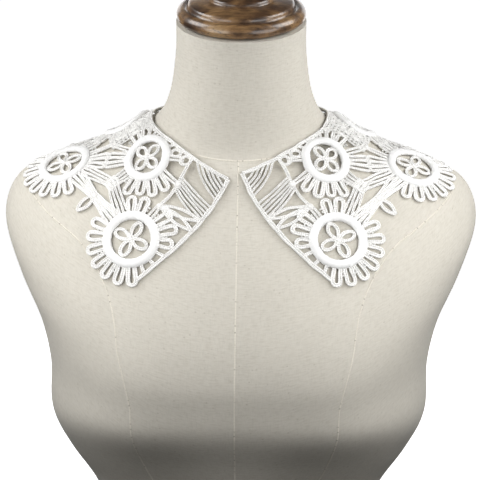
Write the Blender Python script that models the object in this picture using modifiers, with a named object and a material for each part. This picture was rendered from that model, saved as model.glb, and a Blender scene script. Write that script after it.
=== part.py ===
"""Lace collar on a limbless linen dress form, with a turned wood neck cap.

Metres, +Z up. The form stands on the XY plane, facing -Y, with +X on the
wearer's left. The collar's two halves lie on the form's own surface: every
point of the collar is a point of the form, moved out.
"""
import math
from collections import namedtuple

import bmesh
import bpy
from mathutils import Vector

MM = 0.001
SEAM_GAP = 0.3 * MM          # left between two pieces that touch
MERGE_WITHIN = 0.01 * MM     # points of a turned piece that are one point

# ---------------------------------------------------------------- the form
# One row for each cross-section of the form, from the neck down, in mm.
# front, side and back are the heights of the section at those three places,
# so that a section can dip over the chest and rise over the shoulder.
Ring = namedtuple("Ring", "name front side back half_width centre_y deep_front deep_back square")
RINGS = [
    Ring("neck_top",   592, 607, 622,  52.5, -12,  53,  53, 2.0),
    Ring("neck_mid",   573, 581, 589,  53.0,  -9,  53,  54, 2.0),
    Ring("neck_low",   537, 549, 557,  58.0,  -4,  55,  57, 2.0),
    Ring("neck_foot",  505, 528, 532,  69.0,   0,  59,  62, 2.0),
    Ring("yoke_1",     488, 518, 519,  90.0,   2,  69,  70, 2.0),
    Ring("yoke_2",     465, 505, 498, 120.0,   3,  80,  82, 2.0),
    Ring("yoke_3",     437, 494, 470, 153.0,   3,  93,  92, 2.0),
    Ring("shoulder",   407, 479, 440, 183.0,   3, 104, 100, 2.0),
    Ring("arm_top",    380, 450, 415, 194.5,   3, 112, 104, 2.0),
    Ring("arm_mid",    355, 412, 387, 184.0,   2, 116, 106, 2.1),
    Ring("armpit",     330, 371, 357, 166.0,   0, 116, 104, 2.2),
    Ring("bust_top",   310, 330, 325, 157.0,   0, 114, 100, 2.2),
    Ring("bust",       287, 288, 288, 156.0,   0, 110,  95, 2.2),
    Ring("under_bust", 257, 257, 257, 142.0,   0,  97,  88, 2.2),
    Ring("ribs",       222, 222, 222, 119.5,   0,  86,  82, 2.1),
    Ring("waist_top",  185, 185, 185, 107.0,   0,  83,  77, 2.0),
    Ring("waist",      140, 140, 140, 104.0,   0,  84,  76, 2.0),
    Ring("high_hip",    70,  70,  70, 127.0,   0,  98,  94, 2.1),
    Ring("hem",         12,  12,  12, 146.0,   0, 104, 107, 2.2),
]
SIDES = 48                   # points round each section
MARCH = 0.05                 # rows down the table in one step along the surface
STEPS_PER_RING = 2           # sections built for each row of the table
SADDLE_ROUND = 0.35          # how softly a section turns over the shoulder's ridge

BUST_OUT = 82.0 * MM         # bust point's distance from the centre front
BUST_HEIGHT = 297.0 * MM
BUST_SWELL = 22.0 * MM       # how far the bust stands out of the plain section
BUST_ACROSS = 46.0 * MM
BUST_ABOVE = 75.0 * MM       # the swell fades slowly upwards ...
BUST_BELOW = 28.0 * MM       # ... and quickly downwards

# ------------------------------------------------- base board and neck cap
BASE_THICK = 11.7 * MM
BASE_INSET = 4.0 * MM
BASE_ROUND = 1.5 * MM

# The cap's turned profile: radius and height above its foot, in mm. Its lip is
# a rounded roll, and two low steps lead in to a shallow dome.
LIP_RADIUS = 46.2            # of the middle of the roll
LIP_ROLL = 6.0               # the roll's own radius
LIP_TURNS = (-90, -55, -25, 5, 35, 65, 90)
CAP_STEPS = [
    (43.6, 12.0), (43.0, 13.4), (42.0, 15.2), (40.6, 15.8), (27.4, 19.2),
    (26.6, 20.2), (26.0, 21.6), (24.8, 22.4), (12.0, 25.8), (4.0, 26.8),
]
CAP_SIDES = 48

# -------------------------------------------------------------- the collar
# Places on the collar are an azimuth, in degrees round from the centre front,
# and a drop, in mm along the form's surface from its neck_foot section.
NECK_FOOT = 3                # index of the section that drops are measured from
LACE_THICK = 1.3 * MM
LACE_CLEAR = 1.2 * MM        # between the form and the underside of the lace
NECK_SPRING = 3.0 * MM       # more, where the lace bridges the foot of the neck
SPRING_DROP = 14.0 * MM
SPRING_REACH = 15.0 * MM
SPRING_FULL_AZIMUTH = 40.0   # the front tips lie flat; the spring is full from here

Edge = namedtuple("Edge", "azimuth drop")
NECK_EDGE = [
    Edge(1.5, 18.0), Edge(8.0, 14.0), Edge(15.0, 10.5), Edge(24.0, 6.5), Edge(34.0, 3.0),
    Edge(46.0, 1.5), Edge(60.0, 2.0), Edge(75.0, 3.5), Edge(180.0, 3.5),
]
HEM_EDGE = [
    Edge(1.5, 23.0), Edge(5.0, 33.0), Edge(10.0, 56.0), Edge(15.0, 78.0), Edge(20.0, 110.0),
    Edge(25.0, 122.0), Edge(30.0, 127.0), Edge(35.0, 123.0), Edge(40.0, 112.0), Edge(45.0, 100.0),
    Edge(50.0, 94.0), Edge(55.0, 94.0), Edge(60.0, 101.0), Edge(65.0, 112.0), Edge(70.0, 117.0),
    Edge(78.0, 119.0), Edge(87.0, 117.0), Edge(97.0, 113.0), Edge(107.0, 114.0), Edge(119.0, 119.0),
    Edge(131.0, 114.0), Edge(139.0, 113.0), Edge(149.0, 115.0), Edge(159.0, 119.0), Edge(171.0, 115.0),
    Edge(180.0, 113.0),
]
COLUMN_DEGREES = 5.0
PANEL_ROWS = 8

# The lace's wheels: the middle of each padded ring, and its outer radius in mm.
Wheel = namedtuple("Wheel", "name azimuth drop radius")
WHEELS = [
    Wheel("front",      29.5, 88.0, 23.5),
    Wheel("neck_front", 47.5, 24.0, 20.9),
    Wheel("shoulder",   76.5, 81.0, 22.6),
    Wheel("neck_side", 100.0, 27.0, 20.9),
    Wheel("blade",     118.5, 82.0, 22.2),
    Wheel("neck_back", 145.0, 27.0, 20.9),
    Wheel("back",      159.0, 82.0, 22.2),
]
BAND_WIDTH = 7.5 * MM        # of a padded ring
BAND_HIGH = 2.0 * MM
BAND_GAP = 0.8 * MM          # over the panel; its flat facets come nearer than this
BAND_CROWN = 0.45            # the flat top's share of the band's width
BAND_SIDES = 24
NEWTON_STEPS = 6             # to find a place on the form


# ------------------------------------------------------------ plain helpers
def blend_rows(rows, t):
    """Catmull-Rom through a table's rows, at t rows from the first."""
    last = len(rows) - 1
    i = max(0, min(last - 1, math.floor(t)))
    f = t - i

    def row(k):
        if k < 0:
            return [2 * a - b for a, b in zip(rows[0], rows[1])]
        if k > last:
            return [2 * a - b for a, b in zip(rows[last], rows[last - 1])]
        return rows[k]

    result = []
    for p0, p1, p2, p3 in zip(row(i - 1), row(i), row(i + 1), row(i + 2)):
        curve = 2 * p1 + (p2 - p0) * f
        curve += (2 * p0 - 5 * p1 + 4 * p2 - p3) * f * f
        curve += (3 * p1 - 3 * p2 + p3 - p0) * f ** 3
        result.append(curve / 2)
    return result


def edge_drop(edge, azimuth):
    """The drop of a collar edge at an azimuth, in straight runs between its table's rows."""
    for here, there in zip(edge, edge[1:]):
        if azimuth <= there.azimuth:
            f = (azimuth - here.azimuth) / (there.azimuth - here.azimuth)
            return here.drop + (there.drop - here.drop) * f
    return edge[-1].drop


def smooth_step(f):
    f = max(0.0, min(1.0, f))
    return f * f * (3 - 2 * f)


# --------------------------------------------------------- the form's shape
RING_NUMBERS = [row[1:] for row in RINGS]


def form_point(t, azimuth):
    """The form's surface, t rows down its table, azimuth degrees from the front."""
    front, side, back, wide, middle, deep_front, deep_back, square = blend_rows(RING_NUMBERS, t)
    angle = math.radians(azimuth)
    c, s = math.cos(angle), math.sin(angle)
    power = 2 / square
    x = wide * math.copysign(abs(s) ** power, s) * MM
    deep = deep_front if c > 0 else deep_back
    y = (middle - deep * math.copysign(abs(c) ** power, c)) * MM
    k = SADDLE_ROUND
    saddle = (math.hypot(c, k) - k) / (math.hypot(1, k) - k)
    z = (side + (front - back) / 2 * c + ((front + back) / 2 - side) * saddle) * MM
    rise = z - BUST_HEIGHT
    fade = BUST_ABOVE if rise > 0 else BUST_BELOW
    for bust_x in (-BUST_OUT, BUST_OUT):
        away = ((x - bust_x) / BUST_ACROSS) ** 2 + (rise / fade) ** 2
        y -= BUST_SWELL * math.exp(-away / 2) * max(0.0, min(1.0, 3 * c))
    return Vector((x, y, z))


def form_frame(t, azimuth):
    """A point of the form, its outward normal, and its round and down directions."""
    step = 0.01
    round_way = form_point(t, azimuth + step) - form_point(t, azimuth - step)
    down_way = form_point(t + step, azimuth) - form_point(t - step, azimuth)
    normal = down_way.cross(round_way).normalized()
    down_way.normalize()
    return form_point(t, azimuth), normal, normal.cross(down_way), down_way


def row_at_drop(azimuth, drop):
    """How many rows down the table a drop, in metres, comes to."""
    t = float(NECK_FOOT)
    here = form_point(t, azimuth)
    gone = 0.0
    while gone < drop:
        there = form_point(t + MARCH, azimuth)
        length = (there - here).length
        if gone + length >= drop:
            return t + MARCH * (drop - gone) / length
        gone += length
        here = there
        t += MARCH
    return t


def drop_at_row(azimuth, t):
    """The drop, in metres, of a place t rows down the table."""
    steps = math.ceil(abs(t - NECK_FOOT) / MARCH) + 1
    points = [form_point(NECK_FOOT + (t - NECK_FOOT) * i / steps, azimuth) for i in range(steps + 1)]
    length = sum((b - a).length for a, b in zip(points, points[1:]))
    return math.copysign(length, t - NECK_FOOT)


def lace_lift(azimuth, drop):
    """The gap between the form and the underside of the lace."""
    spring = NECK_SPRING * math.exp(-(((drop - SPRING_DROP) / SPRING_REACH) ** 2))
    return LACE_CLEAR + spring * smooth_step(abs(azimuth) / SPRING_FULL_AZIMUTH)


# ------------------------------------------------------------- scene set-up
def clear_scene():
    for item in list(bpy.data.objects):
        bpy.data.objects.remove(item, do_unlink=True)


def make_collection(name):
    collection = bpy.data.collections.new(name)
    bpy.context.scene.collection.children.link(collection)
    return collection


def make_material(name, colour, roughness, metallic=0.0):
    material = bpy.data.materials.new(name)
    material.use_nodes = True
    shader = material.node_tree.nodes["Principled BSDF"]
    shader.inputs["Base Color"].default_value = (*colour, 1.0)
    shader.inputs["Roughness"].default_value = roughness
    shader.inputs["Metallic"].default_value = metallic
    return material


def add_object(name, bm, collection, material, smooth=True):
    """Makes a named object of a bmesh, which is freed."""
    mesh = bpy.data.meshes.new(name)
    bm.to_mesh(mesh)
    bm.free()
    if smooth:
        mesh.shade_smooth()
        mesh.set_sharp_from_angle(angle=math.radians(40))
    item = bpy.data.objects.new(name, mesh)
    item.data.materials.append(material)
    collection.objects.link(item)
    return item


def face_outwards(bm):
    """Turns a closed shell's faces to point out of it."""
    bmesh.ops.recalc_face_normals(bm, faces=bm.faces)
    if bm.calc_volume(signed=True) < 0:
        bmesh.ops.reverse_faces(bm, faces=bm.faces)


def skin(bm, rows, closed):
    """Quads between rows of vertices; closed joins each row's end to its start."""
    for upper, lower in zip(rows, rows[1:]):
        count = len(upper) if closed else len(upper) - 1
        for j in range(count):
            k = (j + 1) % len(upper)
            bm.faces.new((upper[j], lower[j], lower[k], upper[k]))


# ----------------------------------------------------------- the form's parts
def make_form_body(collection, material):
    """The linen-covered neck and torso, in one closed shell down to the hem."""
    bm = bmesh.new()
    rows = []
    for i in range((len(RINGS) - 1) * STEPS_PER_RING + 1):
        t = i / STEPS_PER_RING
        points = [form_point(t, 360 * j / SIDES) for j in range(SIDES)]
        rows.append([bm.verts.new(p) for p in points])
    skin(bm, rows, closed=True)
    bm.faces.new(reversed(rows[0]))
    bm.faces.new(rows[-1])
    face_outwards(bm)
    return add_object("form_body", bm, collection, material)


def make_base_board(collection, material):
    """The board that closes the torso's hem and stands on the table."""
    hem = len(RINGS) - 1
    hem_points = [form_point(hem, 360 * j / SIDES) for j in range(SIDES)]
    bm = bmesh.new()
    outline = []
    for p in hem_points:
        reach = Vector((p.x, p.y, 0.0))
        outline.append(bm.verts.new(reach * (1 - BASE_INSET / reach.length)))
    board = bm.faces.new(outline)
    raised = bmesh.ops.extrude_face_region(bm, geom=[board])
    top = [v for v in raised["geom"] if isinstance(v, bmesh.types.BMVert)]
    bmesh.ops.translate(bm, verts=top, vec=(0.0, 0.0, BASE_THICK))
    face_outwards(bm)
    item = add_object("form_base", bm, collection, material)
    bevel = item.modifiers.new("round_edges", "BEVEL")
    bevel.width = BASE_ROUND
    bevel.segments = 1
    bevel.limit_method = "ANGLE"
    return item


def cap_profile():
    """The cap's radii and heights, in mm, from its foot up over the roll to the dome."""
    turns = [math.radians(turn) for turn in LIP_TURNS]
    roll = [(LIP_RADIUS + LIP_ROLL * math.cos(a), LIP_ROLL * (1 + math.sin(a))) for a in turns]
    return roll + CAP_STEPS


def make_neck_cap(collection, material):
    """The turned wooden cap, on an empty that leans with the neck's top."""
    top = RINGS[0]
    seat = bpy.data.objects.new("neck_top_seat", None)
    seat.location = Vector((0.0, top.centre_y, top.side)) * MM
    seat.rotation_euler.x = math.atan2(top.back - top.front, top.deep_front + top.deep_back)
    collection.objects.link(seat)

    outline = cap_profile()
    profile = [(0.0, outline[-1][1])] + outline[::-1] + [(0.0, outline[0][1])]
    bm = bmesh.new()
    verts = [bm.verts.new((radius * MM, 0.0, height * MM)) for radius, height in profile]
    for upper, lower in zip(verts, verts[1:]):
        bm.edges.new((upper, lower))
    cap = add_object("form_neck_cap", bm, collection, material, smooth=False)
    screw = cap.modifiers.new("turn", "SCREW")
    screw.axis = "Z"
    screw.steps = CAP_SIDES
    screw.render_steps = CAP_SIDES
    screw.use_merge_vertices = True
    screw.merge_threshold = MERGE_WITHIN
    screw.use_smooth_shade = True
    cap.parent = seat
    cap.location = (0.0, 0.0, SEAM_GAP)


# --------------------------------------------------------------- the collar
def panel_columns():
    """Azimuths of a half collar's columns, from its front tip to the centre back."""
    first = NECK_EDGE[0].azimuth
    regular = [COLUMN_DEGREES * i for i in range(1, int(180 / COLUMN_DEGREES))]
    back_radius = RINGS[NECK_FOOT].deep_back * MM
    last = 180 - math.degrees(SEAM_GAP / 2 / back_radius)
    return [first] + regular + [last]


def lace_point(t, azimuth, drop, side, out=0.0):
    """A point of the lace's underside, moved out; side is 1 for left, -1 for right."""
    point, normal, _, _ = form_frame(t, azimuth * side)
    return point + normal * (lace_lift(azimuth, drop) + out)


def make_collar_half(name, side, collection, material):
    """One half of the lace collar, a thin wall that lies over the form."""
    bm = bmesh.new()
    columns = []
    for azimuth in panel_columns():
        top = edge_drop(NECK_EDGE, azimuth) * MM
        hem = edge_drop(HEM_EDGE, azimuth) * MM
        drops = [top + (hem - top) * i / PANEL_ROWS for i in range(PANEL_ROWS + 1)]
        column = [lace_point(row_at_drop(azimuth, drop), azimuth, drop, side) for drop in drops]
        columns.append([bm.verts.new(p) for p in column])
    skin(bm, columns[::-1] if side > 0 else columns, closed=False)
    item = add_object(name, bm, collection, material)
    wall = item.modifiers.new("lace_wall", "SOLIDIFY")
    wall.thickness = LACE_THICK
    wall.offset = 1.0
    wall.use_rim = True
    return item


def place_near_wheel(wheel, u, v):
    """The row and azimuth under a point u round and v down from a wheel's middle.

    The point lies in the plane that touches the form at the middle. Newton's
    steps slide a place on the form until it is straight below the point.
    """
    azimuth = wheel.azimuth
    t = row_at_drop(azimuth, wheel.drop * MM)
    middle, _, round_way, down_way = form_frame(t, azimuth)
    target = middle + round_way * u + down_way * v
    for _ in range(NEWTON_STEPS):
        here, _, here_round, here_down = form_frame(t, azimuth)
        miss = target - here
        a, b = here_round.dot(round_way), here_down.dot(round_way)
        c, d = here_round.dot(down_way), here_down.dot(down_way)
        left, right = miss.dot(round_way), miss.dot(down_way)
        det = a * d - b * c
        turn = (left * d - right * b) / det
        fall = (right * a - left * c) / det
        azimuth += math.degrees(turn / math.hypot(here.x, here.y))
        row_length = (form_point(t + MARCH, azimuth) - form_point(t - MARCH, azimuth)).length / (2 * MARCH)
        t += fall / row_length
    return t, azimuth


def make_band(wheel, side, collection, material):
    """A wheel's padded ring, made of the panel's points moved out."""
    label = "left" if side > 0 else "right"
    outer = wheel.radius * MM
    shoulder = BAND_WIDTH * (1 - BAND_CROWN) / 2
    foot = LACE_THICK + BAND_GAP
    section = [
        (outer - BAND_WIDTH, foot),
        (outer - BAND_WIDTH + shoulder, foot + BAND_HIGH),
        (outer - shoulder, foot + BAND_HIGH),
        (outer, foot),
    ]
    bm = bmesh.new()
    rows = []
    for i in range(BAND_SIDES):
        turn = 2 * math.pi * i / BAND_SIDES
        row = []
        for radius, out in section:
            t, azimuth = place_near_wheel(wheel, radius * math.cos(turn), radius * math.sin(turn))
            row.append(bm.verts.new(lace_point(t, azimuth, drop_at_row(azimuth, t), side, out)))
        rows.append(row)
    skin(bm, rows + rows[:1], closed=True)
    face_outwards(bm)
    return add_object(f"band_{label}_{wheel.name}", bm, collection, material)


def main():
    clear_scene()
    form = make_collection("dress_form")
    collar = make_collection("lace_collar")
    linen = make_material("linen", (0.62, 0.59, 0.53), 0.9)
    wood = make_material("turned_wood", (0.16, 0.08, 0.04), 0.25)
    board = make_material("base_board", (0.30, 0.20, 0.12), 0.6)
    lace = make_material("cotton_lace", (0.90, 0.90, 0.89), 0.75)
    make_form_body(form, linen)
    make_base_board(form, board)
    make_neck_cap(form, wood)
    for side, name in ((1, "collar_left"), (-1, "collar_right")):
        make_collar_half(name, side, collar, lace)
        for wheel in WHEELS:
            make_band(wheel, side, collar, lace)


main()
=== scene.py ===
"""The looks of the lace collar on its dress form.

Everything lies on one surface, the form's, which is a formula of rows down a
table of sections (t) and an azimuth in degrees round from the centre front.
A drop is a length down that surface from the foot of the neck. The lace is
drawn once, on the wearer's left, by rules that spread its motifs between the
wheels and the borders, and is mirrored for the wearer's right with its own
small irregularities.

Metres and +Z up in Blender; the tables of sections and lace are in mm.
"""
import math
from collections import namedtuple

import bpy
import numpy as np
from mathutils import Matrix, Vector
from mathutils.kdtree import KDTree


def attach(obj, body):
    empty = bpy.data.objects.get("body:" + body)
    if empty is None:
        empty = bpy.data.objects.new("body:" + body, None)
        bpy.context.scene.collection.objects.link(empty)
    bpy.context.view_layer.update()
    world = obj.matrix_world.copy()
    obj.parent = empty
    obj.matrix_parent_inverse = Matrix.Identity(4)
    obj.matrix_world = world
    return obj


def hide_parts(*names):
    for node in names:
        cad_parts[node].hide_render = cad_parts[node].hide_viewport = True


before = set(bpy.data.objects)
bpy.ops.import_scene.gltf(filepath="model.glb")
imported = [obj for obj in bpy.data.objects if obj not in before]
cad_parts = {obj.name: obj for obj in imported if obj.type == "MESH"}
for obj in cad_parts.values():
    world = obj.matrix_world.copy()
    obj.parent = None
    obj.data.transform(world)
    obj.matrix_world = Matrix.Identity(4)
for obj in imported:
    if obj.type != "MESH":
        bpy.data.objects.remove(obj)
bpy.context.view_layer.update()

MM = 0.001
ROOT = "root"

# ------------------------------------------------------------------- camera
EYE_TARGET = Vector((0.0, 0.0, 0.425))
EYE_DISTANCE = 1.5
EYE_ELEVATION = 10.0
EYE_AZIMUTH = 1.6            # moved towards +X
EYE_ROLL = 0.45
VIEW_WIDTH = 0.3984          # across the picture, at the target
SENSOR = 36.0


def make_camera():
    data = bpy.data.cameras.new("eye")
    data.sensor_width = SENSOR
    data.lens = SENSOR * EYE_DISTANCE / VIEW_WIDTH
    data.clip_end = 100.0
    eye = bpy.data.objects.new("eye", data)
    bpy.context.scene.collection.objects.link(eye)
    up, turn = math.radians(EYE_ELEVATION), math.radians(EYE_AZIMUTH)
    away = Vector((math.sin(turn) * math.cos(up), -math.cos(turn) * math.cos(up), math.sin(up)))
    eye.location = EYE_TARGET + away * EYE_DISTANCE
    look = (-away).to_track_quat("-Z", "Y")
    eye.rotation_euler = (look.to_matrix().to_4x4() @ roll_matrix(EYE_ROLL)).to_euler()
    bpy.context.scene.camera = eye


def roll_matrix(degrees):
    return Matrix.Rotation(math.radians(degrees), 4, "Z")


# ------------------------------------------------------------------- lights
Softbox = namedtuple("Softbox", "name azimuth elevation distance aim_height width height watts")
SOFTBOXES = [                # one of each on both sides
    Softbox("chest", 40.0, 12.0, 0.40, 0.42, 0.30, 0.30, 0.82),
    Softbox("shoulder", 80.0, 38.0, 0.78, 0.42, 0.45, 0.45, 2.0),
    Softbox("neck", 77.0, 36.0, 0.57, 0.56, 0.30, 0.35, 1.2),
    Softbox("back", 165.0, 15.0, 1.5, 0.45, 1.1, 1.1, 6.0),
]
AMBIENT = 0.04
BACKDROP_RADIUS = 38.0


def make_softbox(box, side):
    data = bpy.data.lights.new(f"{box.name}_{side}", "AREA")
    data.shape = "RECTANGLE"
    data.size, data.size_y = box.width, box.height
    data.energy = box.watts
    lamp = bpy.data.objects.new(data.name, data)
    turn, up = math.radians(box.azimuth) * side, math.radians(box.elevation)
    away = Vector((math.sin(turn) * math.cos(up), -math.cos(turn) * math.cos(up), math.sin(up)))
    lamp.location = Vector((0.0, 0.0, box.aim_height)) + away * box.distance
    lamp.rotation_euler = (-away).to_track_quat("-Z", "Y").to_euler()
    lamp.visible_camera = False
    bpy.context.scene.collection.objects.link(lamp)


def make_stage_piece(name):
    """Makes the newest object a glowing white backdrop that casts no light on the part."""
    item = bpy.context.object
    item.name = name
    material, shader = new_material(name)
    shader.inputs["Base Color"].default_value = (0.95, 0.95, 0.95, 1.0)
    shader.inputs["Roughness"].default_value = 0.9
    shader.inputs["Emission Color"].default_value = (1.0, 1.0, 1.0, 1.0)
    shader.inputs["Emission Strength"].default_value = 1.0
    item.data.materials.append(material)
    item.visible_diffuse = False
    item.visible_glossy = False
    item.visible_shadow = False


def make_stage():
    bpy.ops.mesh.primitive_plane_add(size=2 * BACKDROP_RADIUS)
    make_stage_piece("floor")
    bpy.ops.mesh.primitive_uv_sphere_add(radius=BACKDROP_RADIUS)
    make_stage_piece("backdrop")


def make_lights():
    world = bpy.data.worlds.new("studio")
    world.use_nodes = True
    world.node_tree.nodes["Background"].inputs["Strength"].default_value = AMBIENT
    world.node_tree.nodes["Background"].inputs["Color"].default_value = (1.0, 1.0, 1.0, 1.0)
    bpy.context.scene.world = world
    for box in SOFTBOXES:
        for side in (-1, 1):
            make_softbox(box, side)
    bpy.context.scene.view_settings.view_transform = "Standard"


# ---------------------------------------------------------------- materials
def new_material(name):
    material = bpy.data.materials.new(name)
    material.use_nodes = True
    return material, material.node_tree.nodes["Principled BSDF"]


class Nodes:
    """Short ways to add the shader nodes that the materials share."""

    def __init__(self, material):
        self.tree = material.node_tree

    def add(self, kind, **settings):
        node = self.tree.nodes.new(kind)
        for key, value in settings.items():
            setattr(node, key, value)
        return node

    def join(self, output, target):
        self.tree.links.new(output, target)

    def coordinates(self, output, scale):
        """Texture coordinates, stretched by a scale for each axis."""
        source = self.add("ShaderNodeTexCoord")
        mapping = self.add("ShaderNodeMapping")
        mapping.inputs["Scale"].default_value = scale
        self.join(source.outputs[output], mapping.inputs["Vector"])
        return mapping.outputs["Vector"]

    def noise(self, vector, scale, detail=3.0, roughness=0.55):
        node = self.add("ShaderNodeTexNoise")
        node.inputs["Scale"].default_value = scale
        node.inputs["Detail"].default_value = detail
        node.inputs["Roughness"].default_value = roughness
        self.join(vector, node.inputs["Vector"])
        return node.outputs["Fac"]

    def wave(self, vector, scale, direction="X", distortion=0.0):
        node = self.add("ShaderNodeTexWave", bands_direction=direction)
        node.inputs["Scale"].default_value = scale
        node.inputs["Distortion"].default_value = distortion
        self.join(vector, node.inputs["Vector"])
        return node.outputs["Fac"]

    def ramp(self, factor, stops):
        """A colour ramp; each stop is a position and a grey level or a colour."""
        node = self.add("ShaderNodeValToRGB")
        elements = node.color_ramp.elements
        while len(elements) < len(stops):
            elements.new(0.5)
        for element, (position, colour) in zip(elements, stops):
            element.position = position
            element.color = (*colour, 1.0) if isinstance(colour, tuple) else (colour,) * 3 + (1.0,)
        self.join(factor, node.inputs["Fac"])
        return node.outputs["Color"]

    def mix(self, factor, first, second, blend="MIX"):
        """first and second are sockets or colours, factor a socket or a number."""
        node = self.add("ShaderNodeMix", data_type="RGBA", blend_type=blend)
        for value, socket in ((factor, node.inputs[0]), (first, node.inputs[6]), (second, node.inputs[7])):
            if isinstance(value, bpy.types.NodeSocket):
                self.join(value, socket)
            else:
                socket.default_value = (*value, 1.0) if isinstance(value, tuple) else value
        return node.outputs[2]

    def math(self, operation, first, second):
        node = self.add("ShaderNodeMath", operation=operation)
        for value, socket in zip((first, second), node.inputs):
            if isinstance(value, bpy.types.NodeSocket):
                self.join(value, socket)
            else:
                socket.default_value = value
        return node.outputs[0]

    def bump(self, height, strength, distance, below=None):
        node = self.add("ShaderNodeBump")
        node.inputs["Strength"].default_value = strength
        node.inputs["Distance"].default_value = distance
        self.join(height, node.inputs["Height"])
        if below is not None:
            self.join(below, node.inputs["Normal"])
        return node.outputs["Normal"]


def make_linen():
    """Plain-woven linen: fine threads, short faint slubs both ways, and grey specks."""
    material, shader = new_material("linen_weave")
    n = Nodes(material)
    uv = n.coordinates("UV", (1.0, 1.0, 1.0))
    weft_slubs = n.noise(n.coordinates("UV", (170.0, 800.0, 1.0)), 1.0, 3.0)
    warp_slubs = n.noise(n.coordinates("UV", (800.0, 170.0, 1.0)), 1.0, 3.0)
    cloud = n.noise(uv, 24.0, 2.0)
    threads = n.math("MULTIPLY", n.wave(uv, 420.0, "X", 0.6), n.wave(uv, 420.0, "Y", 0.6))

    tone = n.ramp(weft_slubs, [
        (0.32, (0.568, 0.533, 0.460)), (0.50, (0.615, 0.583, 0.512)), (0.72, (0.645, 0.615, 0.545)),
    ])
    tone = n.mix(0.5, tone, n.ramp(warp_slubs, [(0.30, 0.86), (0.50, 0.97), (0.70, 1.0)]), "MULTIPLY")
    tone = n.mix(0.5, tone, n.ramp(cloud, [(0.30, 0.93), (0.70, 1.0)]), "MULTIPLY")
    speck = n.add("ShaderNodeTexVoronoi")
    speck.inputs["Scale"].default_value = 1.0
    n.join(n.coordinates("UV", (260.0, 330.0, 1.0)), speck.inputs["Vector"])
    near = n.ramp(speck.outputs["Distance"], [(0.08, 1.0), (0.26, 0.0)])
    chosen = n.ramp(speck.outputs["Color"], [(0.74, 0.0), (0.86, 0.55)])
    tone = n.mix(n.math("MULTIPLY", near, chosen), tone, (0.36, 0.32, 0.26))
    n.join(tone, shader.inputs["Base Color"])

    height = n.math("ADD", n.math("MULTIPLY", threads, 0.5), n.math("ADD", weft_slubs, warp_slubs))
    n.join(n.bump(height, 0.14, 0.0004), shader.inputs["Normal"])
    shader.inputs["Roughness"].default_value = 0.88
    shader.inputs["Sheen Weight"].default_value = 0.12
    shader.inputs["Sheen Roughness"].default_value = 0.5
    return material


def make_seam_thread():
    """A linen seam's raised strip, painted a little paler than the cloth as a highlight along its ridge, with
    dark dots of painted shade where its stitches go in.
    """
    material, shader = new_material("linen_seam")
    n = Nodes(material)
    stitches = n.wave(n.coordinates("UV", (1.0, 1.0, 1.0)), 260.0, "X", 1.0)
    # the waves are the stitches along the seam; the paler tone over the cloth's is a painted highlight on the
    # ridge
    tone = n.ramp(stitches, [(0.2, (0.66, 0.62, 0.54)), (0.8, (0.75, 0.71, 0.63))])
    # dark dots along the seam: painted shade in the stitch holes
    stitch_hole_shade = n.ramp(n.noise(n.coordinates("UV", (420.0, 0.0, 0.0)), 1.0, 1.0), [(0.60, 0.0), (0.66, 0.8)])
    n.join(n.mix(stitch_hole_shade, tone, (0.30, 0.27, 0.22)), shader.inputs["Base Color"])
    shader.inputs["Roughness"].default_value = 0.85
    return material


def make_cord_thread():
    """White embroidery cord: close stitches across two rows."""
    material, shader = new_material("lace_cord")
    n = Nodes(material)
    uv = n.coordinates("UV", (1.0, 1.0, 1.0))
    stitches = n.wave(uv, 190.0, "X", 2.5)
    fuzz = n.noise(n.coordinates("Object", (1.0, 1.0, 1.0)), 700.0, 3.0)
    tone = n.ramp(stitches, [(0.0, (0.755, 0.745, 0.720)), (0.6, (0.875, 0.868, 0.845))])
    tone = n.mix(0.6, tone, n.ramp(fuzz, [(0.35, 0.80), (0.6, 1.0)]), "MULTIPLY")
    n.join(tone, shader.inputs["Base Color"])
    n.join(n.bump(n.math("ADD", stitches, fuzz), 0.3, 0.0002), shader.inputs["Normal"])
    shader.inputs["Roughness"].default_value = 0.75
    shader.inputs["Sheen Weight"].default_value = 0.25
    return material


def make_satin_thread():
    """Satin stitches laid side by side over the wheels' padding."""
    material, shader = new_material("lace_satin")
    n = Nodes(material)
    threads = n.wave(n.coordinates("UV", (1.0, 1.0, 1.0)), 480.0, "X", 0.8)
    patches = n.noise(n.coordinates("Object", (1.0, 1.0, 1.0)), 260.0, 3.0)
    tone = n.ramp(threads, [(0.0, (0.810, 0.808, 0.800)), (0.5, (0.860, 0.858, 0.848))])
    tone = n.mix(0.4, tone, n.ramp(patches, [(0.3, 0.90), (0.7, 1.0)]), "MULTIPLY")
    n.join(tone, shader.inputs["Base Color"])
    n.join(n.bump(threads, 0.25, 0.00015), shader.inputs["Normal"])
    shader.inputs["Roughness"].default_value = 0.55
    shader.inputs["Sheen Weight"].default_value = 0.3
    return material


def make_wood():
    """Polished hardwood: dark stain worn to golden brown, with long fine grain and cracks."""
    material, shader = new_material("polished_wood")
    n = Nodes(material)
    patches = n.noise(n.coordinates("Object", (34.0, 60.0, 60.0)), 1.0, 5.0, 0.6)
    grain = n.noise(n.coordinates("Object", (45.0, 620.0, 620.0)), 1.0, 5.0, 0.6)
    pores = n.noise(n.coordinates("Object", (150.0, 1500.0, 1500.0)), 1.0, 2.0)
    tone = n.ramp(patches, [
        (0.34, (0.028, 0.013, 0.007)), (0.45, (0.105, 0.052, 0.022)),
        (0.55, (0.270, 0.150, 0.062)), (0.72, (0.420, 0.260, 0.120)),
    ])
    tone = n.mix(0.85, tone, n.ramp(grain, [(0.34, 0.22), (0.47, 0.80), (0.70, 1.0)]), "MULTIPLY")
    tone = n.mix(0.5, tone, n.ramp(pores, [(0.35, 0.5), (0.6, 1.0)]), "MULTIPLY")
    n.join(tone, shader.inputs["Base Color"])
    n.join(n.bump(n.math("ADD", grain, patches), 0.12, 0.0006), shader.inputs["Normal"])
    shader.inputs["Roughness"].default_value = 0.42
    shader.inputs["Coat Weight"].default_value = 0.8
    shader.inputs["Coat Roughness"].default_value = 0.16
    return material


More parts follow.
